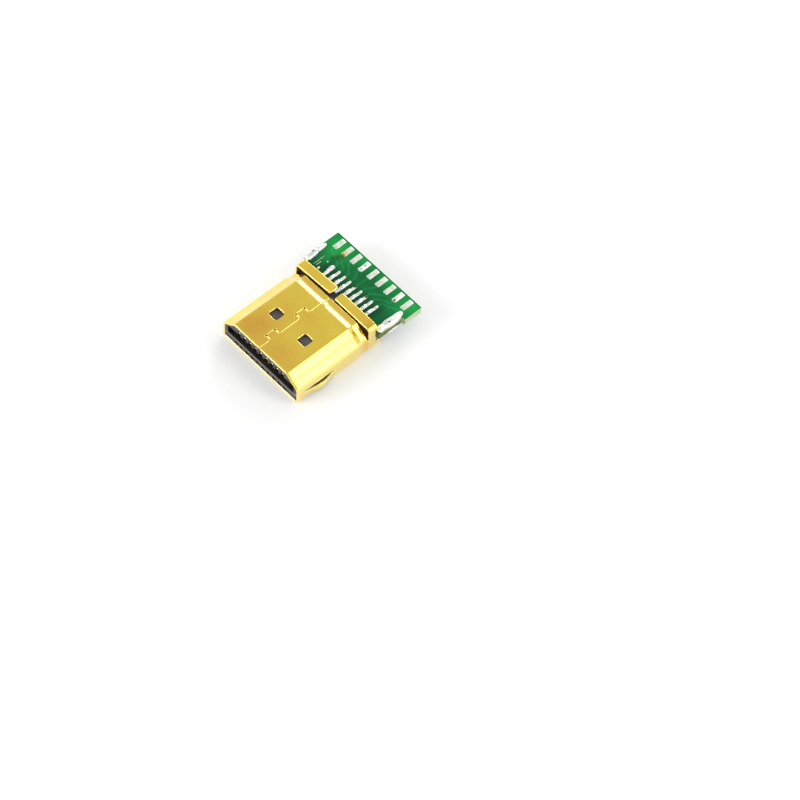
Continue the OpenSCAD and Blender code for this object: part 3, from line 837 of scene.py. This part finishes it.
def board_outline():
    """The board's outline: a tongue inside the collar, a waist beside the solder and a wider rear"""
    low, high = (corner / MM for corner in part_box("board"))
    front, rear = low.y - MOUTH_Y, high.y - MOUTH_Y
    step = rear - BOARD_REAR_LEN
    half = [(BOARD_TONGUE_W / 2, front, BOARD_R), (BOARD_TONGUE_W / 2, WAIST_START, STEP_R),
            (BOARD_WAIST_W / 2, WAIST_START, BOARD_R), (BOARD_WAIST_W / 2, step, STEP_R),
            (high.x, step, BOARD_R), (high.x, rear, BOARD_R)]
    corners = half + [(-x, y, r) for x, y, r in reversed(half)]
    return traced([(Vector((x, y)), r) for x, y, r in corners])


def make_board(material):
    bm = plate([board_outline()], BOARD_TOP - BOARD_BOTTOM, BOARD_EDGE_R)
    normals = laid(bm, lambda x, y: Vector((x, y, BOARD_TOP)))
    return finished("wiring_board", bm, material, "green_board", ["board"], normals)


def trace_path(x0, x1, y0, y1):
    """A printed trace's corners from a tail pad to a wire pad: straight, aslant, straight"""
    straight = (y1 - y0) * 0.3
    return [Vector(point) for point in ((x0, y0), (x0, y0 + straight), (x1, y1 - straight), (x1, y1))]


def make_traces(material):
    for side, count, face, up in FACES:
        tails, _, start = pad_row("tail", side, count)
        wires, stop, _ = pad_row("wire", side, count)
        whole = bmesh.new()
        layer = whole.verts.layers.float_vector.new("flat_normal")
        normals = []
        for x0, x1 in zip(tails, wires):
            loop = ribbon(trace_path(x0, x1, start - TRACE_LAP, stop + TRACE_LAP), TRACE_W)
            flat = plate([loop if area(loop) > 0 else loop[::-1]], TRACE_T, TRACE_T * 0.6, 2)
            normals += laid(flat, lambda x, y: Vector((x, y, face + TRACE_T if up > 0 else face)))
            part = bpy.data.meshes.new("part")
            flat.to_mesh(part)
            flat.free()
            whole.from_mesh(part)
            bpy.data.meshes.remove(part)
        finished(f"printed_traces_{side}", whole, material, "green_board", [], normals)


def make_thin_lines(material):
    """Two thin printed lines and a small pad beside the solder on the left"""
    bm = bmesh.new()
    normals = []
    for x, y, half_len in ((-6.1, 15.25, 0.9), (-5.76, 14.9, 0.4)):
        add_pillow(bm, normals, (x, y, BOARD_TOP), (0.03, half_len), 0.03, corner=6, crown=4)
    add_pillow(bm, normals, (-5.2, 15.9, BOARD_TOP), (0.1, 0.1), 0.04, crown=4)
    bmesh.ops.recalc_face_normals(bm, faces=bm.faces[:])
    finished("thin_printed_lines", bm, material, "plated_pads", [], normals)


# Finishes

# Where the gold is browner, partly tarnish and partly painted shade: place, radius and strength
BROWN_PLACES = (((-4.4, 1.8, 4.4), 3.0, 0.6), ((-2.6, 2.8, 4.4), 3.2, 0.6), ((2.6, 1.5, 4.4), 2.6, 0.6),
                ((6.5, 12.5, 4.4), 1.2, 1.3))
# Where flux has stained the pads, and dirt the board: place, radius and colour
FLUX_SPOTS = (((-4.9, 18.1, 3.0), 1.1, (0.78, 0.72, 0.36)), ((-4.6, 17.9, 3.0), 0.55, (0.50, 0.27, 0.05)),
              ((-0.1, 15.9, 3.0), 0.34, (0.06, 0.04, 0.015)), ((2.0, 15.9, 3.0), 0.28, (0.09, 0.06, 0.02)))
DIRT_SPOTS = (((-4.6, 17.5, 2.95), 0.7, (0.03, 0.05, 0.006)), ((-4.9, 16.8, 2.95), 1.0, (0.006, 0.07, 0.02)))
# Which of the upper wire pads carry solder, counted from 0 on the left
SOLDERED_PADS = (3, 7)
# Where the mask looks paler: place and radius
PALE_PLACES = (((-6.0, 18.5, 2.9), 3.6), ((-2.0, 20.0, 2.9), 2.2), ((2.0, 20.0, 2.9), 2.0),
               ((7.0, 19.5, 2.9), 4.2))
# Where a dark spot on the solder is painted as the shade in a pinhole
PINHOLE_SHADES = ((7.02, 15.17, 3.7), (-7.35, 15.37, 3.55), (4.72, 18.15, 3.05))


class Nodes:
    """The nodes of a material or world, with short ways to add the ones that are used here"""

    def __init__(self, owner):
        owner.use_nodes = True
        self.nodes = owner.node_tree.nodes
        self.links = owner.node_tree.links

    def new(self, kind):
        return self.nodes.new("ShaderNode" + kind)

    def put(self, value, socket):
        if isinstance(value, bpy.types.NodeSocket):
            self.links.new(value, socket)
        else:
            socket.default_value = value

    def axes(self, vector):
        """The outputs X, Y and Z of a vector"""
        node = self.new("SeparateXYZ")
        self.links.new(vector, node.inputs[0])
        return node.outputs

    def maths(self, operation, *values):
        node = self.new("Math")
        node.operation = operation
        for value, socket in zip(values, node.inputs):
            self.put(value, socket)
        return node.outputs[0]

    def ramp(self, value, *stops):
        """Colours or greys at places from 0 to 1"""
        node = self.new("ValToRGB")
        elements = node.color_ramp.elements
        while len(elements) < len(stops):
            elements.new(0.5)
        for element, (place, colour) in zip(elements, stops):
            element.position = place
            element.color = (colour,) * 3 + (1,) if isinstance(colour, float) else tuple(colour) + (1,)
        self.links.new(value, node.inputs["Fac"])
        return node.outputs["Color"]

    def mix(self, share, first, second):
        node = self.new("Mix")
        node.data_type = "RGBA"
        for value, i in ((share, 0), (first, 6), (second, 7)):
            self.put(tuple(value) + (1,) if isinstance(value, (tuple, list)) else value, node.inputs[i])
        return node.outputs[2]


class Finish(Nodes):
    """A material, with the parts that the finishes here share"""

    def __init__(self, name, **values):
        self.material = bpy.data.materials.new(name)
        super().__init__(self.material)
        self.place = self.new("TexCoord").outputs["Object"]
        self.of_place = self.axes(self.place)
        self.set(**values)

    def set(self, **values):
        """Sets or links inputs of the surface by their names"""
        for name, value in values.items():
            socket = name.replace("_", " ").title().replace("Ior", "IOR")
            self.put(value, self.nodes["Principled BSDF"].inputs[socket])
        return self.material

    def fade(self, value, start, stop):
        """0 at one number of millimetres, 1 at another and even between them"""
        node = self.new("MapRange")
        node.inputs["From Min"].default_value = start * MM
        node.inputs["From Max"].default_value = stop * MM
        self.links.new(value, node.inputs["Value"])
        return node.outputs["Result"]

    def between(self, axis, start, stop):
        """A fade along an axis of the row frame"""
        return self.fade(self.of_place[axis], start, stop)

    def along(self, start, stop):
        """A fade by the distance from the mouth"""
        return self.between("Y", start + MOUTH_Y, stop + MOUTH_Y)

    def band(self, start, full, last, end):
        """1 from full to last and 0 before start and after end, by the distance from the mouth"""
        return self.both(self.along(start, full), self.along(end, last))

    def spot(self, place, radius):
        """1 at a place and 0 from a radius off it, in millimetres from the mouth"""
        node = self.new("VectorMath")
        node.operation = "DISTANCE"
        node.inputs[1].default_value = row_frame(place)
        self.links.new(self.place, node.inputs[0])
        return self.fade(node.outputs["Value"], radius, 0)

    def add(self, first, second):
        return self.maths("ADD", first, second)

    def both(self, *shares):
        """The product of several shares"""
        product = 1.0
        for share in shares:
            product = self.maths("MULTIPLY", share, product)
        return product

    def noise(self, size, detail=3.0, stretch=(1, 1, 1)):
        """Noise whose patches are about size millimetres across"""
        mapping = self.new("Mapping")
        mapping.inputs["Scale"].default_value = [1 / (size * MM * s) for s in stretch]
        self.links.new(self.place, mapping.inputs["Vector"])
        node = self.new("TexNoise")
        node.inputs["Scale"].default_value = 1.0
        node.inputs["Detail"].default_value = detail
        node.inputs["Roughness"].default_value = 0.5
        self.links.new(mapping.outputs["Vector"], node.inputs["Vector"])
        return node.outputs["Fac"]

    def bump(self, *layers):
        """Bumps from (height, millimetres) pairs"""
        normal = None
        for height, depth in layers:
            node = self.new("Bump")
            node.inputs["Distance"].default_value = depth * MM
            self.links.new(height, node.inputs["Height"])
            if normal:
                self.links.new(normal, node.inputs["Normal"])
            normal = node.outputs["Normal"]
        return normal


def gold_finish():
    """Gold plate, browner towards the mouth on the level face, partly as painted shade, with painted
    highlights on the rear bend and along the sides, a painted orange reflection on the neck, and paler cut
    edges
    """
    f = Finish("gold_plate", metallic=1.0, coat_weight=0.9, coat_ior=1.85, coat_roughness=0.1)
    patches = f.noise(5, 2.0)
    clean = f.ramp(patches, (0.35, (0.93, 0.63, 0.01)), (0.65, (0.99, 0.74, 0.03)))
    brown = f.ramp(patches, (0.35, (0.78, 0.37, 0.002)), (0.65, (0.86, 0.45, 0.003)))
    # The level face is browner towards the mouth and at BROWN_PLACES: partly tarnish, partly painted shade
    # for its dimmer reflections
    share = f.both(f.along(10, 0), 0.45)
    for place, radius, strength in BROWN_PLACES:
        share = f.add(f.both(f.spot(place, radius), strength), share)
    uneven = f.ramp(f.noise(2.5, 2.0), (0.3, 0.5), (0.7, 1.0))
    level = f.both(share, f.between("Z", 4.25, 4.4), f.along(0.1, 0.4), uneven)
    # A painted highlight: the gold is paler along both sides of the shell, where they are strongly lit
    beside = f.both(f.add(f.between("X", -6.6, -6.95), f.between("X", 6.6, 6.95)), 0.7)
    plain = f.mix(beside, f.mix(level, clean, brown), (1.0, 0.83, 0.26))
    # A painted highlight: the rear bend's band is paler, and rougher
    bend = f.both(f.band(9.9, 10.3, 11.05, 11.25), 0.22)
    plain = f.mix(bend, plain, (1.0, 0.86, 0.42))
    # A painted orange reflection of the surrounding gold on the neck strip
    neck = f.both(f.band(11.0, 11.2, 11.9, 11.98), 0.5)
    plain = f.mix(neck, plain, (0.93, 0.54, 0.02))
    way = f.new("Attribute")
    way.attribute_name = "flat_normal"
    edge = f.ramp(f.axes(way.outputs["Vector"])["Z"], (0.35, 1.0), (0.95, 0.0))
    smear = f.mix(bend, f.ramp(f.noise(1.2, 4.0), (0.3, 0.12), (0.7, 0.22)), (0.36, 0.36, 0.36))
    grain = f.noise(0.06, 2.0, (1, 4, 1))
    return f.set(base_color=f.mix(edge, plain, (1.0, 0.83, 0.36)),
                 roughness=f.mix(edge, smear, (0.42, 0.42, 0.42)),
                 normal=f.bump((f.noise(2.5, 2.0), 0.012), (grain, 0.0006)))


def moulding_finish():
    """A dark moulding with painted light: paler where it faces out and is lit, darker as painted shade
    inside the shell, with a painted highlight on the slot's lower lip and a painted gold reflection in the
    collar gap
    """
    f = Finish("dark_moulding", roughness=0.5, specular_ior_level=0.3)
    # Painted shade: the moulding inside the shell
    inner = f.ramp(f.noise(1.5), (0.3, (0.014, 0.010, 0.008)), (0.7, (0.026, 0.020, 0.016)))
    # A painted brown reflection of the gold walls, in the gap before the collar
    inner = f.mix(f.band(9.4, 9.6, 12.2, 12.6), inner, (0.055, 0.022, 0.010))
    # Painted light: the same moulding paler where it faces out, under the windows, on the front face and at
    # the middle of the collar gap
    outer = f.ramp(f.noise(1.5), (0.3, (0.10, 0.088, 0.090)), (0.7, (0.155, 0.138, 0.138)))
    pocket = f.both(f.between("Z", 3.6, 3.7), f.along(9.5, 9.0))
    face = f.both(f.along(0.2, 0.12), 0.42)
    share = f.add(f.add(pocket, face), f.ramp(f.spot((0, 11.3, 3.9), 1.4), (0.3, 0.0), (0.45, 1.0)))
    # A painted highlight along the front edge of the slot's lower lip
    painted_lip_highlight = f.both(f.between("Z", 1.23, 1.27), f.between("Z", 1.5, 1.4), f.along(0.25, 0.15))
    return f.set(base_color=f.mix(painted_lip_highlight, f.mix(share, inner, outer), (0.26, 0.25, 0.25)),
                 normal=f.bump((f.noise(0.08), 0.002)))


def contact_finish():
    """Gold plate on the tips and tin on the tails"""
    f = Finish("contact_plate", metallic=1.0)
    gold = f.ramp(f.noise(0.8), (0.3, (0.88, 0.64, 0.24)), (0.7, (0.98, 0.80, 0.42)))
    tin = f.ramp(f.noise(0.8), (0.3, (0.80, 0.79, 0.74)), (0.7, (0.95, 0.94, 0.90)))
    return f.set(base_color=f.mix(f.along(8, 10), gold, tin),
                 roughness=f.ramp(f.noise(0.3), (0.3, 0.18), (0.7, 0.34)),
                 normal=f.bump((f.noise(0.15), 0.003)))


def solder_finish():
    """Bright solder with a few dark spots, painted as the shade in pinholes"""
    f = Finish("bright_solder", metallic=1.0)
    tin = f.ramp(f.noise(1.3, 2.0), (0.3, (0.76, 0.77, 0.74)), (0.7, (0.92, 0.93, 0.88)))
    for place in PINHOLE_SHADES:
        tin = f.mix(f.ramp(f.spot(place, 0.3), (0.3, 0.0), (0.6, 1.0)), tin, (0.16, 0.13, 0.10))
    return f.set(base_color=tin,
                 roughness=f.ramp(f.noise(0.9, 2.0), (0.35, 0.3), (0.7, 0.46)),
                 normal=f.bump((f.noise(1.1, 1.0), 0.015), (f.noise(0.15, 1.0), 0.001)))


def pad_finish():
    """Dull tin with a few stains"""
    f = Finish("tinned_pad", metallic=1.0)
    tin = f.ramp(f.noise(0.6), (0.3, (0.66, 0.74, 0.58)), (0.7, (0.90, 0.94, 0.84)))
    for place, radius, colour in FLUX_SPOTS:
        ragged = f.ramp(f.add(f.spot(place, radius), f.noise(0.4)), (0.70, 0.0), (1.0, 1.0))
        tin = f.mix(ragged, tin, colour)
    return f.set(base_color=tin,
                 roughness=f.ramp(f.noise(0.25), (0.3, 0.28), (0.7, 0.5)),
                 normal=f.bump((f.noise(0.12), 0.006)))


def board_finish(name, dark, light):
    """Solder mask over the level faces and bare laminate on the cut edges"""
    f = Finish(name, roughness=0.38, specular_ior_level=0.15)
    middle = [(3 * a + b) / 4 for a, b in zip(dark, light)]
    patchy = f.ramp(f.noise(3, 2.0), (0.3, dark), (0.7, middle))
    share = 0.0
    for place, radius in PALE_PLACES:
        share = f.add(f.spot(place, radius), share)
    mask = f.mix(share, patchy, light)
    # Painted shade: the mask is darker round and between the tails
    painted_tail_shade = f.both(f.along(16.4, 15.4), f.between("X", -5.4, -4.8), f.between("X", 5.2, 4.6), 0.75)
    mask = f.mix(painted_tail_shade, mask, [v / 2 for v in dark])
    mask = f.mix(f.both(f.along(19.8, 19.86), 0.7), mask, dark)
    for place, radius, colour in DIRT_SPOTS:
        ragged = f.add(f.both(f.spot(place, radius), 0.8), f.noise(0.7))
        mask = f.mix(f.ramp(ragged, (0.65, 0.0), (1.0, 0.6)), mask, colour)
    layers = f.noise(0.2, 3.0, (6, 6, 1))
    stained = f.ramp(layers, (0.3, (0.06, 0.11, 0.012)), (0.7, (0.20, 0.24, 0.05)))
    clean = f.ramp(layers, (0.3, (0.42, 0.52, 0.27)), (0.7, (0.62, 0.70, 0.48)))
    laminate = f.mix(f.along(16.8, 17.3), stained, clean)
    upright = f.maths("ABSOLUTE", f.axes(f.new("NewGeometry").outputs["Normal"])["Z"])
    level = f.ramp(upright, (0.45, 0.0), (0.6, 1.0))
    return f.set(base_color=f.mix(level, laminate, mask), normal=f.bump((f.noise(0.5), 0.004)))


# Light, floor and camera

VIEW_AZIMUTH = radians(46.17)
VIEW_ELEVATION = radians(54.91)
VIEW_ROLL = radians(2.3)
SEEN_POINT = row_frame((0, 9.0, 2.0))
SEEN_PIXEL = (314.23, 321.01)
PIXELS_PER_MM = 8.04
PICTURE_PX = 800
CAMERA_DISTANCE = 0.4
SENSOR_MM = 36.0
# Square lamps that face the plug: name, direction, size and radiance
SOFTBOXES = (("low_side_softbox", (0.79, 0.40, 0.44), 0.15, 4.2),
             ("high_side_softbox", (0.56, 0.40, 0.73), 0.13, 4.2),
             ("back_softbox", (-0.41, 0.83, 0.37), 0.22, 4.2),
             ("front_softbox", (-0.41, -0.82, 0.36), 0.25, 6.5))
SOFTBOX_DISTANCE = 0.5
# The studio's brightness by height, from 0 level with the plug to 1 overhead
STUDIO_GREYS = ((0.05, 1.5), (0.22, 0.95), (0.8, 0.7))
FLOOR_HALF = 1.5
FLOOR_GREY = 0.82
FLOOR_GLOW = 0.14


def make_camera():
    """A camera whose picture has SEEN_POINT at SEEN_PIXEL, seen along the photograph's viewing angle"""
    az, el = VIEW_AZIMUTH, VIEW_ELEVATION
    back = Vector((sin(az) * cos(el), -cos(az) * cos(el), sin(el)))
    level = Vector((cos(az), sin(az), 0))
    upright = back.cross(level)
    right = level * cos(VIEW_ROLL) + upright * sin(VIEW_ROLL)
    up = upright * cos(VIEW_ROLL) - level * sin(VIEW_ROLL)
    focal_px = PIXELS_PER_MM * CAMERA_DISTANCE / MM
    seen = Vector((SEEN_PIXEL[0] - PICTURE_PX / 2, PICTURE_PX / 2 - SEEN_PIXEL[1], -focal_px))
    turned = seen.rotation_difference(Vector((0, 0, -1))).to_matrix()
    aim = Matrix((right, up, back)).transposed() @ turned
    data = bpy.data.cameras.new("camera")
    data.sensor_width = SENSOR_MM
    data.lens = focal_px * SENSOR_MM / PICTURE_PX
    data.clip_start = 0.01
    camera = placed("camera", data)
    camera.matrix_world = Matrix.Translation(SEEN_POINT + back * CAMERA_DISTANCE) @ aim.to_4x4()
    bpy.context.scene.camera = camera


def make_lights():
    for name, way, size, radiance in SOFTBOXES:
        data = bpy.data.lights.new(name, "AREA")
        data.size = size
        data.energy = radiance * pi * size * size
        way = Vector(way).normalized()
        turned = way.to_track_quat("Z", "Y").to_matrix().to_4x4()
        placed(name, data).matrix_world = Matrix.Translation(way * SOFTBOX_DISTANCE) @ turned


def make_world():
    """A bright studio that is a little dimmer overhead, and a white background"""
    world = bpy.data.worlds.new("studio")
    bpy.context.scene.world = world
    w = Nodes(world)
    studio = w.ramp(w.axes(w.new("TexCoord").outputs["Generated"])["Z"], *STUDIO_GREYS)
    seen = w.new("LightPath").outputs["Is Camera Ray"]
    w.put(w.mix(seen, studio, (1, 1, 1)), w.nodes["Background"].inputs["Color"])


def make_floor():
    """A pale floor that looks white where nothing shades it, straight, mirrored or through glass"""
    bm = bmesh.new()
    bmesh.ops.create_grid(bm, x_segments=1, y_segments=1, size=FLOOR_HALF)
    mesh = bpy.data.meshes.new("floor")
    bm.to_mesh(mesh)
    bm.free()
    floor = placed("floor", mesh)
    f = Finish("pale_floor", base_color=(FLOOR_GREY,) * 3 + (1,), roughness=0.9, specular_ior_level=0.1,
               emission_color=(1, 1, 1, 1))
    path = f.new("LightPath").outputs
    seen = path["Is Camera Ray"]
    for name in ("Is Glossy Ray", "Is Transmission Ray"):
        seen = f.maths("MAXIMUM", seen, path[name])
    mesh.materials.append(f.set(emission_strength=f.maths("MULTIPLY", seen, FLOOR_GLOW)))


def paint(node, material):
    """Gives a CAD node a finish"""
    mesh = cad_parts[node].data
    mesh.materials.clear()
    mesh.materials.append(material)


bpy.context.scene.view_settings.view_transform = "Standard"
make_camera()
make_world()
make_lights()
make_floor()

gold = gold_finish()
moulding = moulding_finish()
plate_metal = contact_finish()
solder = solder_finish()
pad_metal = pad_finish()
mask = board_finish("green_mask", (0.0005, 0.105, 0.030), (0.008, 0.34, 0.06))
trace_mask = board_finish("mask_on_copper", (0.002, 0.165, 0.050), (0.014, 0.40, 0.09))

make_shell(gold)
for node in ("insulator", "tail_block"):
    paint(node, moulding)
make_contacts(plate_metal)
make_pads(pad_metal, solder)
make_solder(solder)
make_pad_solder(solder)
make_board(mask)
make_traces(trace_mask)
make_thin_lines(pad_metal)
